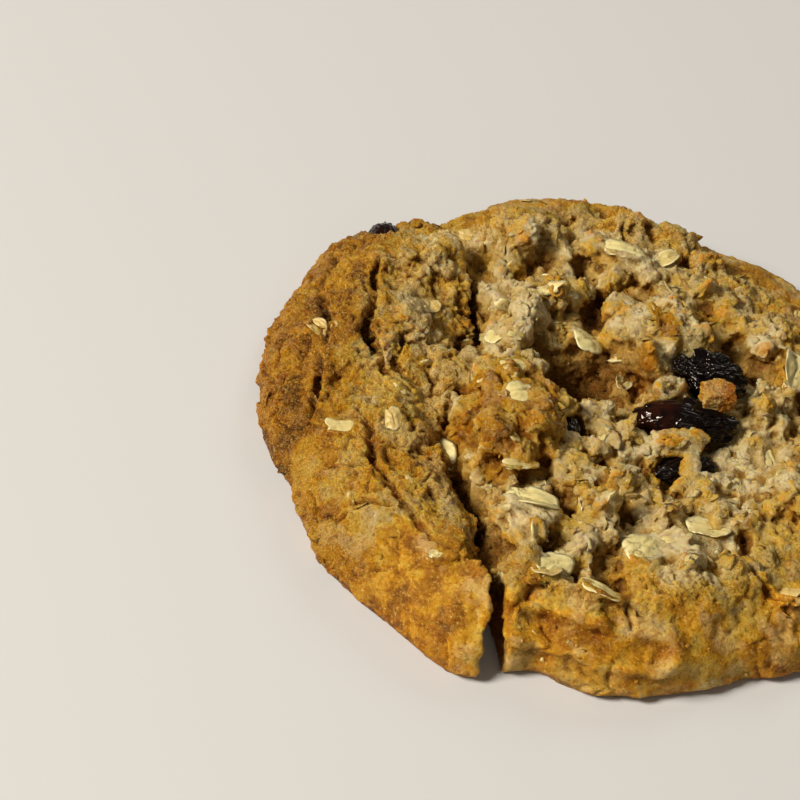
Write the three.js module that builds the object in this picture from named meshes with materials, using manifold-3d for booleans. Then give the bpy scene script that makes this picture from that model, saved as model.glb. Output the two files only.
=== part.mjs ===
// Round oatmeal raisin cookie, lying flat on its baked base.
// Millimetres, +Z up, origin at the middle of the base; -Y is the side with the split rim.
import * as THREE from 'three';
import { mergeVertices } from 'three/addons/utils/BufferGeometryUtils.js';
import Module from 'manifold-3d';

// Driving dimensions
const DIAMETER = 88;
const RADIUS = DIAMETER / 2;
const CROWN = 12; // dough height over the base, before clumps stand proud of it
const EDGE = 1.4; // height of the widest line of the rim
const BASE_INSET = 0.9; // the base is this much smaller in radius than the widest line
const RIM_SQUARENESS = 5; // how long the top stays level before it rolls over
const RIM_ROLL = 0.45; // how full the rolled edge is
const DISH = 2.9; // the torn middle lies this much below the rim's crest
const RINGS = 31; // rings of the dough's skin, ring k holding 6k points
const CLEARANCE = 0.35; // gap between a raisin and the pocket that it sits in

// A raisin is widest at its middle and no thicker than this share of its width
const RAISIN_SIDES = 16;
const RAISIN_BANDS = 9;
const WRINKLE_DEPTH = 0.13;

// Rolled oats
const OAT_LENGTH = 8;
const OAT_WIDTH = 5.4;
const OAT_THICKNESS = 0.9;
const OAT_SIDES = 8;
const LOOSE_OATS = 16; // oats that lie by rule, besides the ones placed by hand

// Oat-and-dough clumps that make the torn middle
const CLUMPS = 112;
const CLUMP_REACH = 0.86; // share of the radius that clumps cover
const CRUST_SIDE = -16; // left of this the top is smoother crust
const GOLDEN_ANGLE = Math.PI * (3 - Math.sqrt(5));

// The rim's swells and dents: place round the rim and reach to each side in degrees, then millimetres outwards
const RIM_SWELLS = [
  { at: -94, reach: 11, out: 3.2 }, // tip of the plate at the split
  { at: -85, reach: 7, out: -3.4 }, // lip set back on the split's other side
  { at: -120, reach: 18, out: 0.8 },
  { at: -141, reach: 10, out: -2 },
  { at: 156, reach: 9, out: 1.4 },
  { at: 135, reach: 13, out: -4 }, // dent where the long fissure meets the far rim
  { at: 79, reach: 9, out: -1.6 },
  { at: 58, reach: 13, out: 2.4 },
  { at: -34, reach: 12, out: 1.8 },
  { at: -47, reach: 7, out: -1.4 },
];

// Large forms: x, y, half-length, half-width, rise over the dough, heading in degrees
const LARGE_CLUMPS = [
  { x: -8.8, y: -11.2, long: 10, wide: 7.2, rise: 6.4, heading: 105 }, // toffee-brown clump
  { x: 6.2, y: 13.8, long: 8, wide: 4.8, rise: 4.6, heading: 10 }, // crusted chunk behind it
  { x: -1.9, y: 25.6, long: 4.6, wide: 3.8, rise: 3.2, heading: 20 }, // chunk at the far rim
  { x: -29.3, y: -1.7, long: 8.2, wide: 2.4, rise: 2.4, heading: 106 }, // column between the left cracks
  { x: -34, y: -2.1, long: 6.6, wide: 2.2, rise: 1.9, heading: 106 }, // column nearer the left rim
  { x: -30, y: 12, long: 8, wide: 4.6, rise: 2.2, heading: 15 }, // block at the left rim
  { x: -25.6, y: 14.8, long: 4.6, wide: 3.6, rise: 3.2, heading: 60 }, // its raised corner
  { x: -21.6, y: -2.2, long: 4.6, wide: 3.2, rise: 2.5, heading: 106 }, // pale block beside the columns
  { x: -23, y: -17.8, long: 7.2, wide: 4.2, rise: 2, heading: 107 }, // slab before the pale block
  { x: -20, y: -27.5, long: 14, wide: 7, rise: 1.2, heading: -45 }, // plate that ends at the split
  { x: -12, y: 10.5, long: 8.4, wide: 4, rise: 2.7, heading: 104 }, // pale mass right of the fissure
  { x: -17.6, y: 27, long: 5.6, wide: 4, rise: 2.1, heading: 28 }, // far rim, left
  { x: 7.9, y: 25.6, long: 3.8, wide: 3.2, rise: 2, heading: 30 }, // chain of clumps along the far rim
  { x: 13.6, y: 26.6, long: 4.8, wide: 2.6, rise: 1.8, heading: 100 },
  { x: 13.4, y: 19.9, long: 4, wide: 3.2, rise: 2.2, heading: 30 },
  { x: 20, y: 21, long: 3.8, wide: 3.2, rise: 2.1, heading: 45 },
  { x: 2.6, y: -5.2, long: 4.6, wide: 4, rise: 2.5, heading: 60 }, // pale clump before the bowl
  { x: 22.8, y: 6.2, long: 4.4, wide: 3.2, rise: 3.4, heading: 100 }, // smooth nub beside the raisins
  { x: 12.2, y: -5.8, long: 5, wide: 2, rise: 2.2, heading: 27 }, // ridge between two raisins
  { x: 4.4, y: -17.4, long: 4.6, wide: 3.6, rise: 2.8, heading: 104 },
  { x: 10.8, y: -15, long: 3.2, wide: 2.5, rise: 2.2, heading: 20 },
  { x: 21.5, y: -11.5, long: 5.6, wide: 4.4, rise: 2.1, heading: 28 },
  { x: -1.7, y: -26.6, long: 5, wide: 4, rise: 3.1, heading: 24 }, // shelf in front of the toffee clump
  { x: 5.9, y: -27, long: 5.4, wide: 2.3, rise: 2.4, heading: 105 },
  { x: 21.4, y: -26.8, long: 9, wide: 4.4, rise: 2.2, heading: 29 }, // crest of the near rim
  { x: 6.5, y: -36.5, long: 4.8, wide: 3.2, rise: 2.1, heading: 20 }, // right lip of the split
  { x: 30, y: -6, long: 5.2, wide: 3.8, rise: 2, heading: 80 }, // right rim
  { x: 27.5, y: 22, long: 5, wide: 3.6, rise: 1.8, heading: -50 },
];

// Hollows: x, y, half-length, half-width, depth, heading in degrees
const HOLLOWS = [
  { x: -1.7, y: 3.4, long: 6.8, wide: 5.6, depth: 5.4, heading: 28 }, // bowl behind the toffee clump
  { x: -6.3, y: 23.8, long: 3, wide: 2.6, depth: 3, heading: 0 }, // undercut beside the far chunk
  { x: -5, y: -34, long: 4.2, wide: 2.3, depth: 4.4, heading: 110 }, // inner end of the split
  { x: 1.6, y: -21.6, long: 3, wide: 2.2, depth: 2.6, heading: 10 },
  { x: 10.5, y: -32.4, long: 3.8, wide: 1.9, depth: 2.3, heading: 15 },
  { x: 8.6, y: -20.4, long: 2.6, wide: 2, depth: 2, heading: 60 },
  { x: 5.6, y: 6.6, long: 4.2, wide: 2.4, depth: 2.4, heading: 10 }, // foot of the crusted chunk
  { x: -0.8, y: -16.6, long: 2.6, wide: 2, depth: 3, heading: 20 }, // foot of the toffee clump
  { x: 6.6, y: -2.8, long: 2.2, wide: 1.8, depth: 2, heading: 60 },
];

// Soft valleys: width, depth and the points of their middle line
const VALLEYS = [
  // the long fissure, from the far rim round the toffee clump to the split
  {
    width: 5.4,
    depth: 3,
    line: [[-27, 25], [-23.5, 19.4], [-19.4, 11.9], [-17.2, 5], [-16.4, -5.5], [-17, -12.5], [-14.4, -20], [-8, -27.4], [-6.4, -34]],
  },
  { width: 4, depth: 1.3, line: [[2, 20], [10, 22], [17, 17], [23, 14]] }, // behind the crusted chunk
  { width: 3.6, depth: 1.2, line: [[1, 30], [9, 29.5], [18, 27]] }, // inside the far rim
];

// Cracks: widest opening, depth below the skin and the points of their middle line
const CRACKS = [
  { width: 1.4, depth: 4.5, line: [[-33.5, 9], [-31.9, 2], [-31.2, -5], [-27, -9.8], [-22.5, -12]] },
  { width: 1.2, depth: 3.2, line: [[-39, 2], [-36.6, -4], [-35.4, -9]] },
  { width: 1.1, depth: 3, line: [[-36, -10.5], [-34, -16], [-33.8, -20]] },
  { width: 0.9, depth: 2.4, line: [[-26, -21], [-23.5, -26.5], [-18.5, -31.5], [-13, -35.5], [-9.5, -36]] },
  { width: 1.6, depth: 3.6, line: [[-24.5, 20.5], [-20.2, 12.5], [-17.3, 6], [-16, 1]] },
  { width: 2.4, depth: 5, line: [[-17.6, -9.5], [-16.2, -17], [-12.4, -22.4], [-8.4, -27], [-6.6, -33]] },
  { width: 1.1, depth: 2.8, line: [[25, -20.5], [28.8, -23.6], [33, -24.6]] },
];
const SPLIT = { width: 3.6, line: [[-6, -32], [-3.2, -37.5], [1, -48]] }; // opens through the rim to the base

// Raisins: x, y and z of the middle, half-sizes, heading and lean in degrees
const RAISINS = [
  { name: 'raisin_wrinkled', at: [13.9, 9.3, 11.8], half: [5.9, 4.3, 3.4], heading: 15, lean: 12 },
  { name: 'raisin_long', at: [12.8, 0.1, 10.8], half: [7.6, 3.4, 3], heading: 14, lean: -4 },
  { name: 'raisin_tucked', at: [14.8, -7.2, 9.6], half: [4.8, 2.3, 2], heading: 37, lean: 0 },
  { name: 'raisin_under_clump', at: [-1.6, -7.8, 9.6], half: [3.6, 2, 2], heading: 110, lean: 8 },
  { name: 'raisin_left_rim', at: [-34, 19, 6.3], half: [3.8, 2.6, 2.2], heading: 120, lean: 10 },
  { name: 'raisin_right', at: [32.4, 9.4, 10.2], half: [5.4, 3.7, 3], heading: 70, lean: -10 },
];

// Oats that stand out: x, y, length, width, heading, and how far each end and side tips up in degrees
const PLACED_OATS = [
  { x: -2.7, y: 26.3, long: 7.4, wide: 5.2, heading: 5, pitch: 0, roll: -12 },
  { x: -3, y: 8.5, long: 6.5, wide: 5.4, heading: 60, pitch: -25, roll: 10 },
  { x: -14.5, y: 3.2, long: 6.2, wide: 5, heading: 90, pitch: 20, roll: -25 },
  { x: -15.6, y: -18, long: 6.5, wide: 4, heading: -55, pitch: 0, roll: 70 },
  { x: -2.5, y: -24.6, long: 9, wide: 5.4, heading: 8, pitch: 0, roll: -20 },
  { x: 2.6, y: -33.6, long: 7, wide: 4.8, heading: 50, pitch: -8, roll: 18 },
  { x: 9.4, y: -34.6, long: 7.6, wide: 5, heading: 0, pitch: -10, roll: -30 },
  { x: 12.4, y: -25, long: 8, wide: 5.6, heading: 75, pitch: -10, roll: 0 },
  { x: 20, y: -17, long: 7.6, wide: 5, heading: 20, pitch: 0, roll: -15 },
  { x: 25, y: 0, long: 6, wide: 4.4, heading: 120, pitch: 15, roll: 25 },
  { x: 24.6, y: 14.6, long: 8.2, wide: 5.2, heading: 100, pitch: 8, roll: 25 },
  { x: -29.5, y: -21.5, long: 5.4, wide: 4, heading: 30, pitch: 0, roll: 0 },
  { x: -9, y: -10, long: 5.6, wide: 4.4, heading: 30, pitch: 0, roll: 10 },
  { x: -11.5, y: -37, long: 3.6, wide: 3, heading: 30, pitch: 0, roll: 0 },
];

const degrees = THREE.MathUtils.degToRad;
const smooth = THREE.MathUtils.smoothstep;

// One repeatable draw from 0 to 1 for a whole number and a stream of draws
function draw(index, stream) {
  const wave = Math.sin(index * 127.1 + stream * 311.7) * 43758.5453;
  return wave - Math.floor(wave);
}

// Smooth noise from -1 to 1 over the plane, one bump per unit
function noise(x, y, stream) {
  const column = Math.floor(x);
  const row = Math.floor(y);
  const across = smooth(x - column, 0, 1);
  const along = smooth(y - row, 0, 1);
  const corner = (i, j) => draw((column + i) * 57 + (row + j) * 131, stream);
  const near = THREE.MathUtils.lerp(corner(0, 0), corner(1, 0), across);
  const far = THREE.MathUtils.lerp(corner(0, 1), corner(1, 1), across);
  return THREE.MathUtils.lerp(near, far, along) * 2 - 1;
}

// How far a place lies from the middle of a turned ellipse: 0 at the middle, 1 on its line
function ellipseDistance(x, y, form) {
  const turn = degrees(form.heading);
  const dx = x - form.x;
  const dy = y - form.y;
  const along = (dx * Math.cos(turn) + dy * Math.sin(turn)) / form.long;
  const across = (dy * Math.cos(turn) - dx * Math.sin(turn)) / form.wide;
  return Math.hypot(along, across);
}

// The rim's radius wanders a little round the cookie
function rimRadius(angle) {
  let reach = RADIUS + 0.45 * noise(angle * 7, 3.5, 11);
  for (const swell of RIM_SWELLS) {
    const away = Math.abs(THREE.MathUtils.euclideanModulo(angle - degrees(swell.at) + Math.PI, 2 * Math.PI) - Math.PI);
    reach += swell.out * Math.exp(-Math.pow(away / degrees(swell.reach), 2));
  }
  return reach;
}

// Height of the plain dough at a share of the radius: a level top that rolls over into the rim
function profileHeight(share) {
  const roll = Math.pow(Math.max(0, 1 - Math.pow(share, RIM_SQUARENESS)), RIM_ROLL);
  const dish = DISH * (1 - smooth(share, 0.45, 0.78));
  return EDGE + (CROWN - EDGE) * roll - dish;
}

// Clumps by rule: a sunflower spread with drawn sizes and slopes
function scatteredClumps() {
  const clumps = [];
  for (let i = 0; i < CLUMPS; i += 1) {
    const reach = RADIUS * CLUMP_REACH * Math.sqrt((i + 0.5) / CLUMPS);
    const angle = i * GOLDEN_ANGLE + 0.5 * (draw(i, 1) - 0.5);
    const x = reach * Math.cos(angle);
    const long = 2.3 + 2.4 * draw(i, 2);
    const crusted = 1 - smooth(x, CRUST_SIDE - 4, CRUST_SIDE + 2);
    clumps.push({
      x,
      y: reach * Math.sin(angle),
      long,
      wide: long * (0.6 + 0.25 * draw(i, 3)),
      rise: (0.8 + 1.9 * draw(i, 4)) * (1 - 0.5 * crusted),
      heading: 360 * draw(i, 5),
      slope: [0.5 * (draw(i, 6) - 0.5), 0.5 * (draw(i, 7) - 0.5)],
      fullness: 0.4,
    });
  }
  return clumps;
}

const clumps = [
  ...scatteredClumps(),
  ...LARGE_CLUMPS.map((form) => ({ ...form, slope: [0, 0], fullness: 0.3 })),
];

// Points close together along each valley, so that the way to its middle line can be measured
const valleyPoints = VALLEYS.map((valley) => {
  const curve = new THREE.SplineCurve(valley.line.map(([x, y]) => new THREE.Vector2(x, y)));
  return curve.getPoints(valley.line.length * 12);
});

function valleyDepth(x, y) {
  let depth = 0;
  VALLEYS.forEach((valley, index) => {
    let nearest = Infinity;
    for (const point of valleyPoints[index]) {
      nearest = Math.min(nearest, Math.hypot(x - point.x, y - point.y));
    }
    const share = nearest / (valley.width / 2) + 0.25 * noise(x / 2.5, y / 2.5, 24);
    depth = Math.max(depth, valley.depth * (1 - smooth(share, 0.1, 1)));
  });
  return depth;
}

// The skin's height over the base at a place, with clumps, hollows and fine unevenness
function skinHeight(x, y) {
  const share = Math.min(1, Math.hypot(x, y) / rimRadius(Math.atan2(y, x)));
  const plain = profileHeight(share);
  const inside = 1 - smooth(share, 0.86, 1);
  let top = plain + inside * (0.45 * noise(x / 4, y / 4, 21) + 0.3 * noise(x / 2, y / 2, 22));
  for (const clump of clumps) {
    const edge = 0.12 * noise(x / 2.5, y / 2.5, 23);
    const distance = ellipseDistance(x, y, clump) + edge;
    if (distance < 1) {
      const lean = clump.slope[0] * (x - clump.x) + clump.slope[1] * (y - clump.y);
      const dome = clump.rise * Math.pow(1 - distance * distance, clump.fullness);
      top = Math.max(top, plain + inside * (dome + lean));
    }
  }
  for (const hollow of HOLLOWS) {
    const distance = ellipseDistance(x, y, hollow);
    top -= inside * hollow.depth * (1 - smooth(distance, 0.35, 1.05));
  }
  top -= inside * valleyDepth(x, y);
  return top;
}

// Shares of the radius at equal steps along the profile, so that the rolled rim keeps its points
function ringShares() {
  const fine = 2000;
  const lengths = [0];
  for (let i = 1; i <= fine; i += 1) {
    const rise = profileHeight(i / fine) - profileHeight((i - 1) / fine);
    lengths.push(lengths[i - 1] + Math.hypot(RADIUS / fine, rise));
  }
  const shares = [];
  for (let ring = 0; ring <= RINGS; ring += 1) {
    const wanted = (lengths[fine] * ring) / RINGS;
    shares.push(lengths.findIndex((length) => length >= wanted - 1e-9) / fine);
  }
  return shares;
}

// The dough's skin as a closed mesh: rings of 6k points over the top, then one ring and a middle for the base
function doughGeometry() {
  const positions = [0, 0, skinHeight(0, 0)];
  const firstOfRing = [0];
  const shares = ringShares();
  for (let ring = 1; ring <= RINGS; ring += 1) {
    firstOfRing.push(positions.length / 3);
    for (let step = 0; step < 6 * ring; step += 1) {
      const angle = (2 * Math.PI * step) / (6 * ring);
      const roughness = 0.7 * shares[ring] * noise(angle * 14, ring * 0.7, 31);
      const reach = shares[ring] * rimRadius(angle) + (ring > RINGS - 6 ? roughness : 0);
      const x = reach * Math.cos(angle);
      const y = reach * Math.sin(angle);
      const z = ring === RINGS ? EDGE + 0.3 * noise(angle * 20, 1.5, 32) : skinHeight(x, y);
      positions.push(x, y, z);
    }
  }
  const faces = [];
  const point = (ring, step) => firstOfRing[ring] + (ring ? step % (6 * ring) : 0);
  for (let ring = 1; ring <= RINGS; ring += 1) {
    for (let side = 0; side < 6; side += 1) {
      for (let step = 0; step < ring; step += 1) {
        const outer = side * ring + step;
        const inner = side * (ring - 1) + step;
        faces.push(point(ring, outer), point(ring, outer + 1), point(ring - 1, inner));
        if (step < ring - 1) {
          faces.push(point(ring, outer + 1), point(ring - 1, inner + 1), point(ring - 1, inner));
        }
      }
    }
  }
  const around = 6 * RINGS;
  const firstOfBase = positions.length / 3;
  for (let step = 0; step < around; step += 1) {
    const angle = (2 * Math.PI * step) / around;
    const reach = rimRadius(angle) - BASE_INSET;
    positions.push(reach * Math.cos(angle), reach * Math.sin(angle), 0);
  }
  const middle = positions.length / 3;
  positions.push(0, 0, 0);
  for (let step = 0; step < around; step += 1) {
    const next = (step + 1) % around;
    faces.push(point(RINGS, step), firstOfBase + step, firstOfBase + next);
    faces.push(point(RINGS, step), firstOfBase + next, point(RINGS, next));
    faces.push(firstOfBase + step, middle, firstOfBase + next);
  }
  const geometry = new THREE.BufferGeometry();
  geometry.setAttribute('position', new THREE.Float32BufferAttribute(positions, 3));
  geometry.setIndex(faces);
  return geometry;
}

// The plan of a crack: a lens along its line, or a wedge that is widest at the last point
function crackShape(line, width, opensAtEnd) {
  const curve = new THREE.SplineCurve(line.map(([x, y]) => new THREE.Vector2(x, y)));
  const steps = line.length * 2;
  const left = [];
  const right = [];
  for (let i = 0; i <= steps; i += 1) {
    const share = i / steps;
    const middle = curve.getPoint(share);
    const ahead = curve.getTangent(share);
    const open = opensAtEnd ? Math.pow(share, 0.7) : Math.pow(Math.sin(Math.PI * share), 0.7);
    const jag = 0.25 * noise(i * 1.7, width, 41);
    const half = Math.max(0.06, (width / 2) * open * (1 + jag));
    left.push(new THREE.Vector2(middle.x - ahead.y * half, middle.y + ahead.x * half));
    right.unshift(new THREE.Vector2(middle.x + ahead.y * half, middle.y - ahead.x * half));
  }
  return new THREE.Shape([...left, ...right]);
}

function crackGeometry(crack) {
  const [x, y] = crack.line[Math.floor(crack.line.length / 2)];
  const floor = Math.max(1.2, skinHeight(x, y) - crack.depth);
  const options = { depth: 2 * CROWN, bevelEnabled: false };
  return new THREE.ExtrudeGeometry(crackShape(crack.line, crack.width, false), options).translate(0, 0, floor);
}

function splitGeometry() {
  const options = { depth: 3 * CROWN, bevelEnabled: false };
  return new THREE.ExtrudeGeometry(crackShape(SPLIT.line, SPLIT.width, true), options).translate(0, 0, -CROWN);
}

// A rolled oat: a thin oval with a slight crown, lying in the XY plane along X
function oatGeometry(long, wide) {
  const geometry = new THREE.CylinderGeometry(0.5, 0.42, OAT_THICKNESS, OAT_SIDES).rotateX(Math.PI / 2);
  return geometry.scale(long, wide, 1);
}

function turned(geometry, oat) {
  const tip = new THREE.Euler(degrees(oat.roll), degrees(-oat.pitch), degrees(oat.heading), 'ZYX');
  return geometry.applyMatrix4(new THREE.Matrix4().makeRotationFromEuler(tip));
}

function placedOat(oat) {
  const lift = oat.lift ?? 0.15;
  return turned(oatGeometry(oat.long, oat.wide), oat).translate(oat.x, oat.y, skinHeight(oat.x, oat.y) + lift);
}

// Oats by rule, over the top and down to the start of the rim's roll
function looseOats() {
  const oats = [];
  for (let i = 0; i < LOOSE_OATS; i += 1) {
    const reach = RADIUS * 0.9 * Math.sqrt((i + 0.5) / LOOSE_OATS);
    const angle = i * GOLDEN_ANGLE + 1.1;
    oats.push({
      x: reach * Math.cos(angle),
      y: reach * Math.sin(angle),
      long: OAT_LENGTH * (0.65 + 0.35 * draw(i, 51)),
      wide: OAT_WIDTH * (0.7 + 0.3 * draw(i, 52)),
      heading: 360 * draw(i, 53),
      pitch: 40 * (draw(i, 54) - 0.5),
      roll: 40 * (draw(i, 55) - 0.5),
      lift: 0.1,
    });
  }
  return oats;
}

// A raisin: an ellipsoid whose skin is pulled in along wavy folds; grown makes the plain pocket around it
function raisinGeometry(raisin, grown = 0) {
  const geometry = new THREE.SphereGeometry(1, RAISIN_SIDES, RAISIN_BANDS);
  const places = geometry.getAttribute('position');
  const half = new THREE.Vector3(...raisin.half).addScalar(grown);
  for (let i = 0; i < places.count; i += 1) {
    const place = new THREE.Vector3().fromBufferAttribute(places, i);
    const fold = Math.sin(4 * place.x + 5 * place.y + 2 * Math.sin(3 * place.z + raisin.heading));
    const pulled = grown ? 1 : 1 - WRINKLE_DEPTH * (0.5 + 0.5 * fold);
    place.multiplyScalar(pulled).multiply(half);
    places.setXYZ(i, place.x, place.y, place.z);
  }
  const tip = new THREE.Euler(0, degrees(raisin.lean), degrees(raisin.heading), 'ZYX');
  geometry.applyMatrix4(new THREE.Matrix4().makeRotationFromEuler(tip));
  return geometry.translate(...raisin.at);
}

const wasm = await Module();
wasm.setup();

function solidFrom(geometry) {
  const bare = geometry.clone();
  bare.deleteAttribute('normal');
  bare.deleteAttribute('uv');
  const merged = mergeVertices(bare, 1e-4);
  return new wasm.Manifold(new wasm.Mesh({
    numProp: 3,
    vertProperties: new Float32Array(merged.getAttribute('position').array),
    triVerts: new Uint32Array(merged.index.array),
  }));
}

function geometryFrom(solid) {
  const mesh = solid.getMesh();
  const geometry = new THREE.BufferGeometry();
  geometry.setAttribute('position', new THREE.BufferAttribute(mesh.vertProperties, 3));
  geometry.setIndex(new THREE.BufferAttribute(mesh.triVerts, 1));
  geometry.computeVertexNormals();
  return geometry;
}

// The largest piece of a solid, without scraps that a cut has set loose
function mainPiece(solid) {
  return solid.decompose().sort((one, other) => other.volume() - one.volume())[0];
}

function cookieGeometry() {
  let solid = solidFrom(doughGeometry());
  for (const crack of CRACKS) {
    solid = solid.subtract(solidFrom(crackGeometry(crack)));
  }
  solid = solid.subtract(solidFrom(splitGeometry()));
  for (const oat of [...PLACED_OATS, ...looseOats()]) {
    solid = solid.add(solidFrom(placedOat(oat)));
  }
  for (const raisin of RAISINS) {
    solid = solid.subtract(solidFrom(raisinGeometry(raisin, CLEARANCE)));
  }
  return geometryFrom(mainPiece(solid));
}

const doughFinish = new THREE.MeshStandardMaterial({ color: 0xb98a48, roughness: 0.85, metalness: 0 });
const raisinFinish = new THREE.MeshStandardMaterial({ color: 0x1a0d0a, roughness: 0.35, metalness: 0 });

const cookie = new THREE.Group();
const dough = new THREE.Mesh(cookieGeometry(), doughFinish);
dough.name = 'cookie';
cookie.add(dough);
for (const raisin of RAISINS) {
  const mesh = new THREE.Mesh(raisinGeometry(raisin), raisinFinish);
  mesh.name = raisin.name;
  cookie.add(mesh);
}

// The origin is the middle of the base's surrounding box
const middle = new THREE.Box3().setFromObject(cookie).getCenter(new THREE.Vector3());
for (const mesh of cookie.children) {
  mesh.geometry.translate(-middle.x, -middle.y, 0);
}

export default cookie;
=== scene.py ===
from math import cos, exp, hypot, pi, radians, remainder, sin, sqrt
import bmesh
import bpy
from mathutils import Euler, Matrix, Vector, noise


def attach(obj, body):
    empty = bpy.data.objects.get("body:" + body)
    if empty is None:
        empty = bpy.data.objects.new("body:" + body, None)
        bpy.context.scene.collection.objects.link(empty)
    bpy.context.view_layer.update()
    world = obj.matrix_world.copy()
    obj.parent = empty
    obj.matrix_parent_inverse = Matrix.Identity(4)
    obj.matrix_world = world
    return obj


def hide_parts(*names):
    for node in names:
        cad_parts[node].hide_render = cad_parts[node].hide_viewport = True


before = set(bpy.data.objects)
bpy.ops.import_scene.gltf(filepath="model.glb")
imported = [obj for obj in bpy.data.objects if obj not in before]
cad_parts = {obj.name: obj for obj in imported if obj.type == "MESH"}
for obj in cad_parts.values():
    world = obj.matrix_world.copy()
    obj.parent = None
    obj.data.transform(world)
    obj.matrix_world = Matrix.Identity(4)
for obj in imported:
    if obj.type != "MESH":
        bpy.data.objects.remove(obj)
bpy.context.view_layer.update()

# Sizes in millimetres
MM = 0.001
MIDDLE = (0.09, 1.44)        # where the forms' own middle lies from the middle of the base
RADIUS = 44.0
FIRST_VOXEL = 0.5            # size of the finest form that the first skin over the solid keeps
VOXEL = 0.37                 # size of the finest crag that the dough's mesh keeps
MOST_TRIANGLES = 190000
GOLDEN_ANGLE = pi * (3 - sqrt(5))
HALF = (0.5, 0.5, 0.5)


# Node trees
def arithmetic(operation, reflected=False):
    """A method of Wire that adds one Math node."""
    return lambda self, other: self.maths(operation, *((other, self) if reflected else (self, other)))


class Wire:
    """A socket that carries a value; arithmetic on it adds Math nodes."""

    def __init__(self, tree, socket):
        self.tree = tree
        self.socket = socket

    def maths(self, operation, *values):
        return self.tree.node("ShaderNodeMath", {"operation": operation}, dict(enumerate(values)))[0]

    def step(self, low, high):
        """Runs smoothly from 0 at low to 1 at high; high may be the smaller one."""
        return self.tree.node("ShaderNodeMapRange", {"interpolation_type": "SMOOTHSTEP"},
                              {"Value": self, "From Min": low, "From Max": high})[0]

    __add__, __radd__ = arithmetic("ADD"), arithmetic("ADD", True)
    __sub__, __rsub__ = arithmetic("SUBTRACT"), arithmetic("SUBTRACT", True)
    __mul__, __rmul__ = arithmetic("MULTIPLY"), arithmetic("MULTIPLY", True)
    __truediv__, __rtruediv__ = arithmetic("DIVIDE"), arithmetic("DIVIDE", True)
    __pow__, most = arithmetic("POWER"), arithmetic("MAXIMUM")


class Made:
    """A node that was added; its outputs are taken by name or number."""

    def __init__(self, tree, made):
        self.tree = tree
        self.made = made

    def __getitem__(self, key):
        return Wire(self.tree, self.made.outputs[key])


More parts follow.
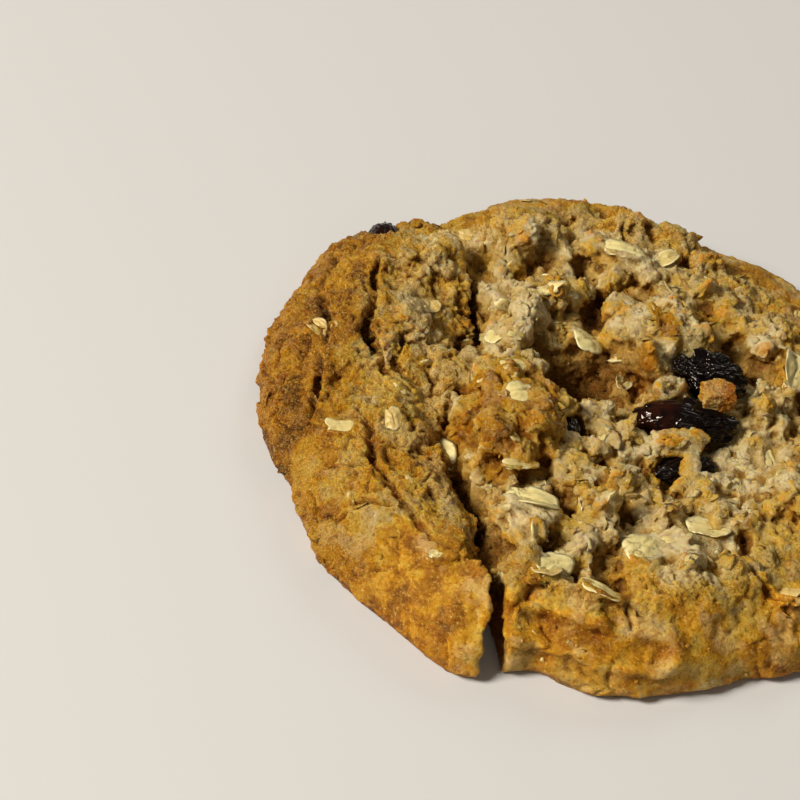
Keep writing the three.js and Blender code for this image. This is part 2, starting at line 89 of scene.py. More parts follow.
class Tree:
    """A node tree; node() adds any node, its settings first and then its sockets."""

    def __init__(self, tree):
        self.tree = tree

    def node(self, kind, settings=None, sockets=None):
        made = self.tree.nodes.new(kind)
        for name, value in (settings or {}).items():
            if name == "stops":
                self.stops(made.color_ramp, value)
            else:
                setattr(made, name, value)
        for key, value in (sockets or {}).items():
            for one in value if isinstance(value, list) else [value]:
                if isinstance(one, Wire):
                    self.tree.links.new(one.socket, made.inputs[key])
                else:
                    made.inputs[key].default_value = one
        return Made(self, made)

    def stops(self, ramp, stops):
        while len(ramp.elements) < len(stops):
            ramp.elements.new(1.0)
        for element, (place, colour) in zip(ramp.elements, stops):
            element.position = place
            element.color = (*colour, 1.0)

    # Values and patterns
    def vector(self, operation, *values, out=0):
        return self.node("ShaderNodeVectorMath", {"operation": operation}, dict(enumerate(values)))[out]

    def scaled(self, vector, amount):
        return self.node("ShaderNodeVectorMath", {"operation": "SCALE"}, {0: vector, "Scale": amount})[0]

    def dot(self, first, second):
        return self.vector("DOT_PRODUCT", first, second, out="Value")

    def axes(self, vector):
        parts = self.node("ShaderNodeSeparateXYZ", None, {"Vector": vector})
        return parts["X"], parts["Y"], parts["Z"]

    def combined(self, x=0.0, y=0.0, z=0.0):
        return self.node("ShaderNodeCombineXYZ", None, {"X": x, "Y": y, "Z": z})["Vector"]

    def grain(self, place, scale, detail=2.0, roughness=0.5, out=0):
        """Soft noise from 0 to 1, scale bumps for each unit of place."""
        sockets = {"Vector": place, "Scale": scale, "Detail": detail, "Roughness": roughness}
        return self.node("ShaderNodeTexNoise", None, sockets)[out]

    def warped(self, place, scale, amount, detail=2.0, roughness=0.5):
        """A place shifted this way and that, so that what is laid out by it winds."""
        return self.vector("ADD", place, self.sway(place, scale, amount, detail, roughness))

    def sway(self, place, scale, amount, detail, roughness):
        chance = self.grain(place, scale, detail, roughness, "Color")
        return self.scaled(self.vector("SUBTRACT", chance, HALF), amount)

    def cells(self, place, scale, feature="F1"):
        return self.node("ShaderNodeTexVoronoi", {"feature": feature}, {"Vector": place, "Scale": scale})

    def creases(self, place, scale):
        """How far a place lies from the border of its cell."""
        return self.cells(place, scale, "DISTANCE_TO_EDGE")["Distance"]

    def heads(self, cell):
        """Round heads with creases between them, from 0.3 on a head to about -0.3 in a crease."""
        return 0.3 - cell["Distance"] * cell["Distance"] * 1.25

    def blocks(self, place, scale, rise, spread, tilt):
        """Broken blocks: cells with a head, a level and a slope of their own, parted by creases."""
        cell = self.cells(place, scale)
        chance = self.vector("SUBTRACT", cell["Color"], HALF)
        slope = self.dot(self.vector("SUBTRACT", place, cell["Position"]), chance) * scale
        level = self.dot(chance, (0.0, 0.0, 1.0))
        return self.heads(cell) * rise + level * spread + slope * tilt

    # Geometry
    def position(self):
        return self.node("GeometryNodeInputPosition")["Position"]

    def normal(self):
        return self.node("GeometryNodeInputNormal")["Normal"]

    def carried(self, name, kind="FLOAT"):
        """A value that the points of the geometry carry."""
        return self.node("GeometryNodeInputNamedAttribute", {"data_type": kind}, {"Name": name})[0]

    def keep(self, geometry, name, value, domain="POINT"):
        return self.node("GeometryNodeStoreNamedAttribute", {"data_type": "FLOAT", "domain": domain},
                         {"Geometry": geometry, "Name": name, "Value": value})["Geometry"]

    def moved(self, geometry, place, socket="Offset"):
        return self.node("GeometryNodeSetPosition", None, {"Geometry": geometry, socket: place})["Geometry"]

    def ball(self, cuts):
        return self.node("GeometryNodeMeshIcoSphere", None, {"Radius": 1.0, "Subdivisions": cuts})["Mesh"]

    def shown(self, piece):
        return self.node("GeometryNodeObjectInfo", None, {"Object": piece})["Geometry"]

    def joined(self, parts):
        return self.node("GeometryNodeJoinGeometry", None, {"Geometry": parts})["Geometry"]

    def kinds(self, shapes):
        """Some shapes as kinds to pick from."""
        kinds = [self.node("GeometryNodeGeometryToInstance", None, {"Geometry": shape}) for shape in shapes]
        return self.joined([kind["Instances"] for kind in kinds])

    def chance(self, seed, low=0.0):
        return self.node("FunctionNodeRandomValue", {"data_type": "FLOAT"}, {2: low, 3: 1.0, "Seed": seed})[1]

    def chances(self, seed, reach):
        return self.node("FunctionNodeRandomValue", {"data_type": "FLOAT_VECTOR"},
                         {0: (-reach, -reach, -reach), 1: (reach, reach, reach), "Seed": seed})[0]

    def turned(self, angles):
        return self.node("FunctionNodeEulerToRotation", None, {"Euler": angles})["Rotation"]

    def strewn(self, mesh, spacing, most, thick, seed):
        """Points over a mesh, no nearer to each other than the spacing."""
        return self.node("GeometryNodeDistributePointsOnFaces", {"distribute_method": "POISSON"},
                         {"Mesh": mesh, "Distance Min": spacing, "Density Max": most, "Density Factor": thick,
                          "Seed": seed})

    def standing(self, points, kinds, turn, size, picked=None):
        """One of the kinds on each point, by turns or as picked."""
        sockets = {"Points": points, "Instance": kinds, "Pick Instance": True,
                   "Rotation": turn, "Scale": size}
        if picked:
            sockets["Instance Index"] = picked
        return self.node("GeometryNodeInstanceOnPoints", None, sockets)["Instances"]

    def blurred(self, value, kind, rounds):
        return self.node("GeometryNodeBlurAttribute", {"data_type": kind},
                         {"Value": value, "Iterations": rounds})["Value"]

    # Finishes
    def on_piece(self):
        """The place on a piece in millimetres, for a material."""
        return self.scaled(self.node("ShaderNodeTexCoord")["Object"], 1 / MM)

    def attributes(self, *names):
        """Values that a piece's mesh carries, for a material."""
        return [self.node("ShaderNodeAttribute", {"attribute_name": name})["Fac"] for name in names]

    def mix(self, factor, first, second, blend="MIX"):
        first, second = (one if isinstance(one, Wire) else (*one, 1.0) for one in (first, second))
        return self.node("ShaderNodeMix", {"data_type": "RGBA", "blend_type": blend},
                         {0: factor, 6: first, 7: second})[2]

    def layered(self, colour, layers):
        """A colour with tints laid over it in turn, each by its own share."""
        for share, tint, *blend in layers:
            colour = self.mix(share, colour, tint, *blend)
        return colour

    def bump(self, height, strength, depth):
        return self.node("ShaderNodeBump", None,
                         {"Strength": strength, "Distance": depth * MM, "Height": height})["Normal"]

    def finish(self, sockets):
        surface = self.node("ShaderNodeBsdfPrincipled", None, sockets)[0]
        self.node("ShaderNodeOutputMaterial", None, {"Surface": surface})


def geometry_tree(name, sizes):
    """A tree for geometry with one named number for each size; gives the tree and its input."""
    group = bpy.data.node_groups.new(name, "GeometryNodeTree")
    group.interface.new_socket("Geometry", in_out="INPUT", socket_type="NodeSocketGeometry")
    for size, number in sizes.items():
        kind = "NodeSocketInt" if isinstance(number, int) else "NodeSocketFloat"
        group.interface.new_socket(size, in_out="INPUT", socket_type=kind)
    group.interface.new_socket("Geometry", in_out="OUTPUT", socket_type="NodeSocketGeometry")
    tree = Tree(group)
    return tree, tree.node("NodeGroupInput")


def close_tree(tree, geometry, skin=None):
    """Ends a geometry tree in real meshes with their material."""
    real = tree.node("GeometryNodeRealizeInstances", None, {"Geometry": geometry})["Geometry"]
    made = tree.node("GeometryNodeSetShadeSmooth", None, {"Geometry": real, "Shade Smooth": True})
    if skin:
        made = tree.node("GeometryNodeSetMaterial", None, {"Geometry": made["Geometry"], "Material": skin})
    tree.node("NodeGroupOutput", None, {"Geometry": made["Geometry"]})
    return tree


def plain_mesh(piece):
    """Turns what a piece's modifiers make into its own mesh."""
    bpy.context.view_layer.update()
    made = bpy.data.meshes.new_from_object(piece.evaluated_get(bpy.context.evaluated_depsgraph_get()))
    piece.modifiers.clear()
    old = piece.data
    piece.data = made
    made.name = piece.name
    bpy.data.meshes.remove(old)
    return piece


def run_tree(piece, tree, sizes):
    modifier = piece.modifiers.new(tree.tree.name, "NODES")
    modifier.node_group = tree.tree
    for item in tree.tree.interface.items_tree:
        if item.in_out == "INPUT" and item.name in sizes:
            modifier[item.identifier] = sizes[item.name]
    return plain_mesh(piece)


def new_piece(name, mesh):
    piece = bpy.data.objects.new(name, mesh)
    bpy.context.scene.collection.objects.link(piece)
    return piece


def discard(pieces):
    for piece in pieces:
        bpy.data.objects.remove(piece)


def new_mesh(name, form):
    """Turns a form into a mesh and lets go of the form."""
    mesh = bpy.data.meshes.new(name)
    form.to_mesh(mesh)
    form.free()
    return mesh


def draw(index, stream):
    """One repeatable draw from 0 to 1 for a whole number and a stream of draws."""
    wave = sin(index * 127.1 + stream * 311.7) * 43758.5453
    return wave % 1


def material(name):
    made = bpy.data.materials.new(name)
    made.use_nodes = True
    made.node_tree.nodes.clear()
    return made, Tree(made.node_tree)


# Zones of the top as ovals: middle, half-sizes and heading in degrees
TOFFEE_CLUMP = ((-8.8, -11.2), (10.0, 7.2), 105)
BOWL = ((-0.6, 4.4), (8.4, 5.4), 28)
BOWL_FLOOR = ((-1.7, 3.4), (7.0, 5.8), 28)
SLAB = ((4.0, 12.4), (7.0, 5.0), 8)
TOASTED_BAND = ((5.9, 13.4), (4.4, 1.7), -47)

# How closely and how far the lines of a zone, of clumps and of the rim's lip wind
ZONE_WARP = (0.13, 9.0)
CLUMP_WARP = (0.3, 3.0)
LIP_WARP = (0.3, 2.0)


def form_place(tree):
    """The place in millimetres from the forms' own middle."""
    return tree.vector("SUBTRACT", tree.scaled(tree.position(), 1 / MM), (*MIDDLE, 0.0))


def far_out(x, y):
    return (x * x + y * y) ** 0.5


def oval(x, y, middle, half, heading):
    """How far a place lies from the middle of a turned oval: 0 at the middle, 1 on its line."""
    turn = radians(heading)
    across, along = x - middle[0], y - middle[1]
    first = (across * cos(turn) + along * sin(turn)) / half[0]
    second = (along * cos(turn) - across * sin(turn)) / half[1]
    return far_out(first, second)


def bowl_zone(x, y):
    """1 at the bottom of the soft hollow behind the toffee-brown clump and 0 outside it."""
    return oval(x, y, *BOWL).step(1.05, 0.3)


def left_of_fissure(x, y):
    """1 on the crusted left of the long fissure and 0 right of it."""
    near = y.step(-14.0, -36.0) * 12.5
    far = y.step(5.0, 26.0) * -11.0
    return (x + 17.0 - near - far).step(1.5, -2.0)


def torn_zone(tree, place):
    """1 over the torn middle, 0 on the crusted left and on the rim's outer side, with a ragged border."""
    x, y, _ = tree.axes(tree.warped(place, *ZONE_WARP))
    reach = far_out(x, y) + y.step(12.0, 26.0) * 4.0
    return reach.step(37.0, 30.0) * (1 - left_of_fissure(x, y))


def calm_wall(x, y, z):
    """1 on the rim's outer wall, away from the crusted left, and 0 elsewhere."""
    return far_out(x, y).step(33.0, 39.0) * x.step(-30.0, -12.0) * z.step(13.0, 10.0)


def nearest(tree, target, sockets):
    """How far off the nearest face or edge lies, in millimetres."""
    return tree.node("GeometryNodeProximity", {"target_element": target}, sockets)["Distance"] / MM


def clear_of(tree, pieces, near, far):
    """0 within near millimetres of the pieces, 1 further off than far."""
    shown = tree.joined([tree.shown(piece) for piece in pieces])
    return nearest(tree, "FACES", {"Geometry": shown}).step(near, far)


def near_line(tree, place, lines):
    return nearest(tree, "EDGES", {"Geometry": tree.shown(lines), "Source Position": tree.scaled(place, MM)})


def near_crack(tree, place, lines):
    """How far a place lies from the nearest crack, seen from straight above."""
    return near_line(tree, tree.vector("MULTIPLY", place, (1.0, 1.0, 0.0)), lines)


def near_lip(tree, place, crease):
    return near_line(tree, tree.warped(place, *LIP_WARP), crease)


# The middle lines of the cracks: those of the solid first, then creases that the skin alone has
CRACKS = [
    [(-33.5, 9), (-31.9, 2), (-31.2, -5), (-27, -9.8), (-22.5, -12)],
    [(-39, 2), (-36.6, -4), (-35.4, -9)],
    [(-36, -10.5), (-34, -16), (-33.8, -20)],
    [(-26, -21), (-23.5, -26.5), (-18.5, -31.5), (-13, -35.5), (-9.5, -36)],
    [(-24.5, 20.5), (-20.2, 12.5), (-17.3, 6), (-16, 1)],
    [(-17.6, -9.5), (-16.2, -17), (-12.4, -22.4), (-8.4, -27), (-6.6, -33)],
    [(25, -20.5), (28.8, -23.6), (33, -24.6)],
    [(-27.0, -19.7), (-25.5, -22.7), (-23.7, -26.8)],
    [(-24.0, -32.5), (-20.4, -32.5), (-18.0, -32.1)],
    [(12.4, -33.6), (13.5, -35.2), (14.6, -36.6)],
]
RIM_CREASE = [(-0.5, -41.0, 8.4), (2.8, -40.2, 7.7), (5.2, -39.8, 7.5), (8.0, -39.7, 7.6), (10.2, -39.4, 7.6),
              (13.2, -38.9, 7.4), (15.5, -38.3, 7.2), (18.8, -37.0, 7.0)]


def guide_lines(name, lines):
    """Lines of places in millimetres as bare edges."""
    points, edges = [], []
    for line in lines:
        edges += [(len(points) + i, len(points) + i + 1) for i in range(len(line) - 1)]
        points += [Vector(place).to_3d() * MM for place in line]
    mesh = bpy.data.meshes.new(name)
    mesh.from_pydata(points, edges, [])
    return new_piece(name, mesh)


# Dough: cells for each millimetre, and sizes in millimetres
CLUMP_CELLS = 0.17
CRAG_CELLS = 0.37
LUMP_CELLS = 0.62
GRAIN_CELLS = 1.25
PLATE_CELLS = 0.15
CRAGS = {"Tear": 1.6, "Clump rise": 2.6, "Clump spread": 2.4, "Clump tilt": 3.2,
         "Crag rise": 1.0, "Crag spread": 0.8, "Crag tilt": 2.0, "Bowl depth": 2.6, "Crack closing": 0.45,
         "Lip height": 2.2}
CHUNKS = {"Chunk spacing": 4.0, "Smallest chunk": 1.1, "Largest chunk": 3.3}
CHUNK_FACETS = 9
CHUNK_CUTS = 4
CHUNK_SEEDS = (61, 64, 67, 70, 73)
CHUNK_SINK = -0.3
SKY_RAYS = 20
SKY_REACH = 9.0              # how far off something still shades a crevice
RELIEF = {"Lump rise": 0.4, "Lump spread": 0.35, "Lump tilt": 1.1, "Grain rise": 0.3, "Grain spread": 0.25,
          "Grain tilt": 0.5, "Speck depth": 0.4, "Crack depth": 0.9, "Groove depth": 1.5}
OAT_BED = 0.6                # how far the dough lies under an oat's face

# How far each zone is baked: 0 is pale crumb and 1 is burnt crust; the left base shade is painted shade laid
# on as bake
BAKED = {"left": 0.27, "outer left": 0.44, "near left": 0.14, "rim": 0.46, "far rim": 0.1, "toffee": 0.43,
         "slab": 0.05, "toasted band": 0.7, "lip": 0.18, "foot": 0.22, "left foot": 0.22, "right rim": 0.1}


def block_cells(tree, start, kind, place, cells):
    return tree.blocks(place, cells, start[kind + " rise"], start[kind + " spread"], start[kind + " tilt"])


def crag_tree(oats, raisins, lines, crease):
    """Breaks the solid's skin into crags and clumps, calmly round what is set in it."""
    tree, start = geometry_tree("dough crags", CRAGS)
    place = form_place(tree)
    x, y, z = tree.axes(place)
    torn = torn_zone(tree, place)
    free = z.step(0.3, 2.4) * (clear_of(tree, [oats], 0.3, 1.6) * 0.85 + 0.15)
    free = free * (clear_of(tree, raisins, 0.4, 1.8) * 0.75 + 0.25)
    beside = near_crack(tree, place, lines)
    free = free * (beside.step(0.6, 2.4) * 0.75 + 0.25) * (1 - 0.25 * calm_wall(x, y, z))

    winding = tree.warped(place, *CLUMP_WARP)
    clumps = block_cells(tree, start, "Clump", winding, CLUMP_CELLS)
    crags = block_cells(tree, start, "Crag", winding, CRAG_CELLS)
    toffee = oval(x, y, *TOFFEE_CLUMP).step(1.1, 0.8)
    bowl = bowl_zone(x, y)
    rim, back = far_out(x, y).step(34.0, 41.0), y.step(14.0, 24.0)
    rise = clumps * (0.22 + 0.78 * torn) * (1 - 0.5 * toffee) + crags * (0.45 + 0.55 * torn)
    rise = rise * (1 - 0.45 * rim) * (1 - 0.5 * bowl) * (1 - 0.3 * back)
    rise = rise * (1 - 0.2 * x.step(9.0, 16.0) * y.step(0.0, -6.0))
    lip = near_lip(tree, place, crease)
    rise = rise + (lip.step(4.2, 2.2) * 0.5 - lip.step(2.2, 0.5)) * start["Lip height"]

    normal = tree.normal()
    sway = tree.sway(place, 0.36, start["Tear"], 3.0, 0.55)
    offset = tree.vector("ADD", tree.scaled(normal, rise - bowl * start["Bowl depth"]), sway)
    showing = tree.grain(place, 0.3).step(0.38, 0.52)
    closing = beside.step(1.8, 0.9) * start["Crack closing"]
    bed = (clear_of(tree, [oats], 0.1, 0.6) - 1) * showing * OAT_BED + closing
    offset = tree.vector("ADD", tree.scaled(offset, free * MM), tree.scaled(normal, bed * MM))
    return close_tree(tree, tree.moved(start["Geometry"], offset))


def facing(height, angle):
    """The direction at a height on a ball and an angle round it."""
    level = sqrt(1 - height * height)
    return Vector((level * cos(angle), level * sin(angle), height))


def broken_sides(seed):
    """The way that each flat side of a broken block faces."""
    return [facing(1 - 2 * (facet + 0.5) / CHUNK_FACETS, facet * GOLDEN_ANGLE + 6.3 * draw(facet, seed))
            for facet in range(CHUNK_FACETS)]


def chunk_tree(oats, raisins):
    """Strews broken chunks of dough over the top, thickly where it is torn."""
    tree, start = geometry_tree("dough chunks", CHUNKS)
    place = form_place(tree)
    x, y, _ = tree.axes(place)
    upward = tree.axes(tree.normal())[2]
    thick = torn_zone(tree, place) * 0.9 + 0.1
    thick = thick * oval(x, y, *BOWL_FLOOR).step(0.8, 1.1) * upward.step(0.1, 0.45)
    thick = thick * far_out(x, y).step(34.0, 30.0)
    thick = thick * clear_of(tree, [oats], 0.8, 1.2) * clear_of(tree, raisins, 1.4, 2.0)

    def chunk(seed):
        """A broken block: a ball cut back to the planes of its facets."""
        here = tree.position()
        out = tree.vector("LENGTH", here, out="Value") * 1.3
        for facet, side in enumerate(broken_sides(seed)):
            cut = (0.62 + 0.5 * draw(facet, seed + 1)) / tree.dot(here, side).most(0.05)
            out = out.maths("SMOOTH_MIN", out, cut, 0.1)
        flattened = tree.vector("MULTIPLY", here, (MM, 0.85 * MM, 0.7 * MM))
        return tree.moved(tree.ball(CHUNK_CUTS), tree.scaled(flattened, out), "Position")

    kinds = tree.kinds([chunk(seed) for seed in CHUNK_SEEDS])
    points = tree.strewn(start["Geometry"], start["Chunk spacing"] * MM, 0.3 / MM / MM, thick, 3)
    turn = tree.turned(tree.chances(10, 3.1))
    chance = tree.chance(14)
    size = start["Smallest chunk"] + (start["Largest chunk"] - start["Smallest chunk"]) * chance * chance
    lowered = tree.moved(points["Points"], tree.scaled(points["Normal"], CHUNK_SINK * MM))
    lying = tree.standing(lowered, kinds, turn, size)
    return close_tree(tree, tree.joined([start["Geometry"], lying]))


def covered(tree, geometry):
    """How much of the sky is hidden from each place: 0 in the open, 1 deep in a crevice."""
    begin = tree.vector("ADD", tree.position(), tree.scaled(tree.normal(), 0.12 * MM))
    hidden = 0.0
    for ray in range(SKY_RAYS):
        towards = facing(0.15 + 0.85 * (ray + 0.5) / SKY_RAYS, ray * GOLDEN_ANGLE)
        blocked = tree.node("GeometryNodeRaycast", None,
                            {"Target Geometry": geometry, "Source Position": begin, "Ray Direction": towards,
                             "Ray Length": SKY_REACH * MM})["Is Hit"]
        hidden = blocked + hidden
    return tree.blurred(hidden / SKY_RAYS, "FLOAT", 1)


def sunken(tree, rounds, span):
    """How far a place stands out from its surroundings, or lies in them where it is less than 0."""
    here = tree.position()
    around = tree.blurred(here, "FLOAT_VECTOR", rounds)
    return tree.dot(tree.vector("SUBTRACT", here, around), tree.normal()) / (span * MM)


def baked_zone(tree, place, crease):
    """How far each place is baked, with painted shade laid on as bake low on the front left, which faces the
    key lamp.
    """
    x, y, z = tree.axes(place)
    wx, wy, _ = tree.axes(tree.warped(place, *ZONE_WARP))
    toffee = oval(wx, wy, *TOFFEE_CLUMP).step(1.08, 0.96) * BAKED["toffee"]
    left = left_of_fissure(wx, wy)
    rust = x.step(-26.0, -37.0) * BAKED["outer left"] + BAKED["left"]
    rust = rust + y.step(-8.0, -20.0) * BAKED["near left"]
    pale = wy.step(-18.0, -28.0) * wx.step(-6.0, 2.0) * 1.5
    ring = (far_out(wx, wy) - pale).step(29.0, 37.0) * (BAKED["rim"] + BAKED["far rim"] * y.step(8.0, 26.0))
    baked = (left * rust).most(ring).most(toffee)
    baked = baked - oval(x, y, *SLAB).step(1.1, 0.8) * BAKED["slab"]
    baked = baked + oval(x, y, *TOASTED_BAND).step(1.15, 0.55) * BAKED["toasted band"]
    lip = near_lip(tree, place, crease)
    baked = baked + lip.step(2.6, 0.8) * BAKED["lip"]
    foot = y.step(-30.0, -36.0) * x.step(-6.0, 0.0) * z.step(6.8, 5.4) * lip.step(0.8, 2.0)
    # painted shade, laid on as bake, darkens the front left low down, which faces the key lamp
    baked = baked - foot * BAKED["foot"] + y.step(-33.0, -40.0) * left * BAKED["left foot"]
    return baked + x.step(14.0, 24.0) * y.step(-12.0, -22.0) * BAKED["right rim"]


def relief_tree(skin, oats, raisins, lines, crease):
    """Roughens the dough's skin, and keeps how sunken and how baked each place is."""
    tree, start = geometry_tree("dough relief", RELIEF)
    place = form_place(tree)
    x, y, z = tree.axes(place)
    torn = torn_zone(tree, place)
    wall, hollow = calm_wall(x, y, z), bowl_zone(x, y)
    free = z.step(0.15, 1.2) * (clear_of(tree, [oats], 0.05, 0.7) * 0.9 + 0.1)
    free = free * (clear_of(tree, raisins, 0.3, 1.0) * 0.6 + 0.4)
    free = free * (1 - 0.55 * wall) * (1 - 0.5 * hollow)

    winding = tree.warped(place, 0.8, 1.2)
    lumps = block_cells(tree, start, "Lump", winding, LUMP_CELLS)
    grains = block_cells(tree, start, "Grain", winding, GRAIN_CELLS)
    specks = (tree.grain(place, 1.7, 2.0, 0.6) - 0.5) * start["Speck depth"]
    plates = tree.creases(tree.warped(place, 0.25, 4.0), PLATE_CELLS)
    cracked = plates.step(0.06, 0.0) * tree.grain(place, 0.12, 1.0).step(0.42, 0.55)
    groove = near_crack(tree, place, lines) + (tree.grain(place, 0.9, 1.0) - 0.5) * 0.9
    cracked = cracked * start["Crack depth"] + groove.step(0.55, 0.1) * start["Groove depth"]
    rough = tree.grain(place, 0.16).step(0.36, 0.64)
    inside = far_out(x, y).step(41.0, 37.0)
    depth = lumps * (0.3 + 0.7 * rough) * (0.6 + 0.4 * inside) + specks - cracked * (1 - torn)
    depth = depth + grains * (0.5 * rough + 0.3 + (0.2 + 0.4 * (1 - torn)) * inside)
    moved = tree.moved(start["Geometry"], tree.scaled(tree.normal(), depth * free * MM))

    clump = tree.cells(tree.warped(place, *CLUMP_WARP), CRAG_CELLS)["Color"]
    kept = moved
    # the bowl counts as more covered, so more painted shade lies in it
    for name, value in (("pit", sunken(tree, 10, 0.3)), ("hill", sunken(tree, 90, 1.2)),
                        ("covered", covered(tree, moved) + hollow * 0.32), ("clump", tree.axes(clump)[1]),
                        ("baked", baked_zone(tree, place, crease)),
                        ("torn", torn * z.step(2.0, 4.0) * (1 - 0.6 * hollow)), ("calm", wall)):
        kept = tree.keep(kept, name, value)
    return close_tree(tree, kept, skin)


def flatten_base(mesh):
    """Swaps the many small faces under the cookie for one flat face."""
    form = bmesh.new()
    form.from_mesh(mesh)
    for vert in form.verts:
        if vert.co.z < 0.2 * MM:
            vert.co.z = 0.0
    under = [face for face in form.faces if all(vert.co.z == 0.0 for vert in face.verts)]
    bmesh.ops.delete(form, geom=under, context="FACES")
    rim = [edge for edge in form.edges if edge.is_boundary]
    bmesh.ops.holes_fill(form, edges=rim, sides=0)
    bmesh.ops.triangulate(form, faces=[face for face in form.faces if len(face.verts) > 4])
    bmesh.ops.recalc_face_normals(form, faces=form.faces)
    form.to_mesh(mesh)
    form.free()


def fuse(piece, voxel):
    """Makes one closed skin of overlapping forms."""
    fused = piece.modifiers.new("fused", "REMESH")
    fused.mode = "VOXEL"
    fused.voxel_size = voxel * MM
    fused.use_smooth_shade = True
    plain_mesh(piece)


# Broken blocks set one by one: x, y, z, half-sizes, heading and lean towards the near side in degrees
BLOCKS = [
    # Ridges and lumps round the raisins
    (12.6, -4.9, 11.5, (4.2, 1.7, 1.4), 30, 0),
    (15.2, -7.4, 10.9, (1.7, 1.3, 1.2), 70, 0),
    (16.8, -9.8, 10.0, (3.0, 1.6, 1.4), 35, 0),
    (9.3, 3.9, 12.0, (2.2, 1.6, 1.4), 60, 0),
    (-3.4, -5.6, 11.4, (2.4, 1.8, 1.8), 100, 0),
    (0.4, -10.4, 10.2, (2.2, 1.6, 1.5), 20, 0),
    # The two plates and the right end of the slab behind the wrinkled raisin
    (2.6, 12.5, 12.6, (3.5, 2.7, 1.4), 40, 24),
    (7.2, 13.8, 13.0, (3.8, 2.9, 1.5), -28, 18),
    (9.8, 14.2, 12.6, (2.8, 2.2, 1.9), 40, 0),
    # In front of the middle, between the fissure and the tucked raisin
    (2.2, -15.2, 9.8, (3.4, 2.9, 2.2), 25, 0),
    (7.8, -13.6, 9.6, (2.2, 2.7, 2.0), 70, 0),
    (-2.6, -20.6, 8.8, (3.6, 2.4, 2.0), 115, 0),
    (10.4, -12.6, 9.0, (2.4, 1.6, 1.5), 30, 0),
    # Left of the fissure and across it
    (-26.4, -0.6, 10.9, (2.6, 5.5, 2.2), 16, 0),
    (-24.7, -5.8, 10.1, (2.4, 2.6, 1.7), 30, 0),
    (-18.2, -5.2, 8.8, (2.6, 2.2, 2.0), 40, 0),
    (-16.4, -1.8, 9.4, (2.1, 1.9, 1.7), 80, 0),
]
BLOCK_SEED = 81
BLOCK_CUTS = 4
TOASTED_CRUMB = (15.6, 3.6, 13.9, (2.2, 1.8, 1.7), 22, 0)
TOASTED_CRUMB_SEED = 91
TOASTED_CRUMB_CUTS = 6
TOASTED_GRAIN = {"Grain depth": 0.2}
CUBE_SIDES = [Vector(side) for side in ((1, 0, 0), (-1, 0, 0), (0, 1, 0), (0, -1, 0), (0, 0, 1), (0, 0, -1))]


def add_block(form, block, seed, cuts, sides):
    """Adds a block with flat broken sides and rough skin to a form."""
    x, y, z, half, heading, lean = block
    ball = bmesh.ops.create_icosphere(form, subdivisions=cuts, radius=1.0)
    place = Matrix.Translation(Vector((x + MIDDLE[0], y + MIDDLE[1], z)) * MM)
    place = place @ Matrix.Rotation(radians(lean), 4, "X")
    place = place @ Matrix.Rotation(radians(heading), 4, "Z")
    place = place @ Matrix.Diagonal((*(h * MM for h in half), 1.0))
    for vert in ball["verts"]:
        out = 1.35
        for facet, side in enumerate(sides):
            out = min(out, (0.75 + 0.35 * draw(facet, seed + 1)) / max(vert.co.dot(side), 0.05))
        rough = noise.noise(vert.co * 1.9 + Vector((seed, 0, 0))) * 0.12
        rough += noise.noise(vert.co * 4.7 + Vector((0, seed, 0))) * 0.1
        vert.co = place @ (vert.co * (out + rough))


def make_toasted_crumb(skin):
    """The browned crumb that lies on the two large raisins."""
    form = bmesh.new()
    add_block(form, TOASTED_CRUMB, TOASTED_CRUMB_SEED, TOASTED_CRUMB_CUTS, CUBE_SIDES)
    crumb = new_piece("toasted_crumb", new_mesh("toasted_crumb", form))
    tree, start = geometry_tree("toasted crumb", TOASTED_GRAIN)
    place = form_place(tree)
    grains = tree.heads(tree.cells(place, 2.4)) * 0.5 + tree.heads(tree.cells(place, 1.2))
    out = tree.scaled(tree.normal(), grains * start["Grain depth"] * MM)
    baked = tree.axes(place)[0].step(14.4, 17.0) * 0.5 + 0.2
    close_tree(tree, tree.keep(tree.moved(start["Geometry"], out), "baked", baked), skin)
    return run_tree(crumb, tree, TOASTED_GRAIN)


def make_dough(skin, oats, raisins):
    lines, crease = guide_lines("crack_lines", CRACKS), guide_lines("rim_crease", [RIM_CREASE])
    form = bmesh.new()
    form.from_mesh(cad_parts["cookie"].data)
    bmesh.ops.remove_doubles(form, verts=form.verts, dist=1e-6)
    dough = new_piece("dough", new_mesh("dough", form))
    fuse(dough, FIRST_VOXEL)
    run_tree(dough, crag_tree(oats, raisins, lines, crease), CRAGS)
    run_tree(dough, chunk_tree(oats, raisins), CHUNKS)
    form = bmesh.new()
    form.from_mesh(dough.data)
    for index, block in enumerate(BLOCKS):
        seed = BLOCK_SEED + 2 * index
        add_block(form, block, seed, BLOCK_CUTS, broken_sides(seed))
    form.to_mesh(dough.data)
    form.free()
    fuse(dough, VOXEL)
    flatten_base(dough.data)
    run_tree(dough, relief_tree(skin, oats, raisins, lines, crease), RELIEF)
    discard((lines, crease))
    dough.data.calc_loop_triangles()
    thinned = dough.modifiers.new("thinned", "DECIMATE")
    thinned.ratio = min(1.0, MOST_TRIANGLES / len(dough.data.loop_triangles))
    return plain_mesh(dough)


# Bits that lie on the dough
OAT_BITS = {"Spacing": 3.8, "Smallest": 1.4, "Largest": 4.0, "Tilt": 0.4, "Sink": -0.2, "Seed": 41}
DOUGH_FLAKES = {"Spacing": 1.9, "Smallest": 1.3, "Largest": 3.4, "Tilt": 0.8, "Sink": -0.1, "Seed": 83}
CRUMBS = {"Spacing": 1.25, "Smallest": 0.16, "Largest": 0.5, "Tilt": 3.1, "Sink": -0.08, "Seed": 57}
CRUMB_SEED = 80


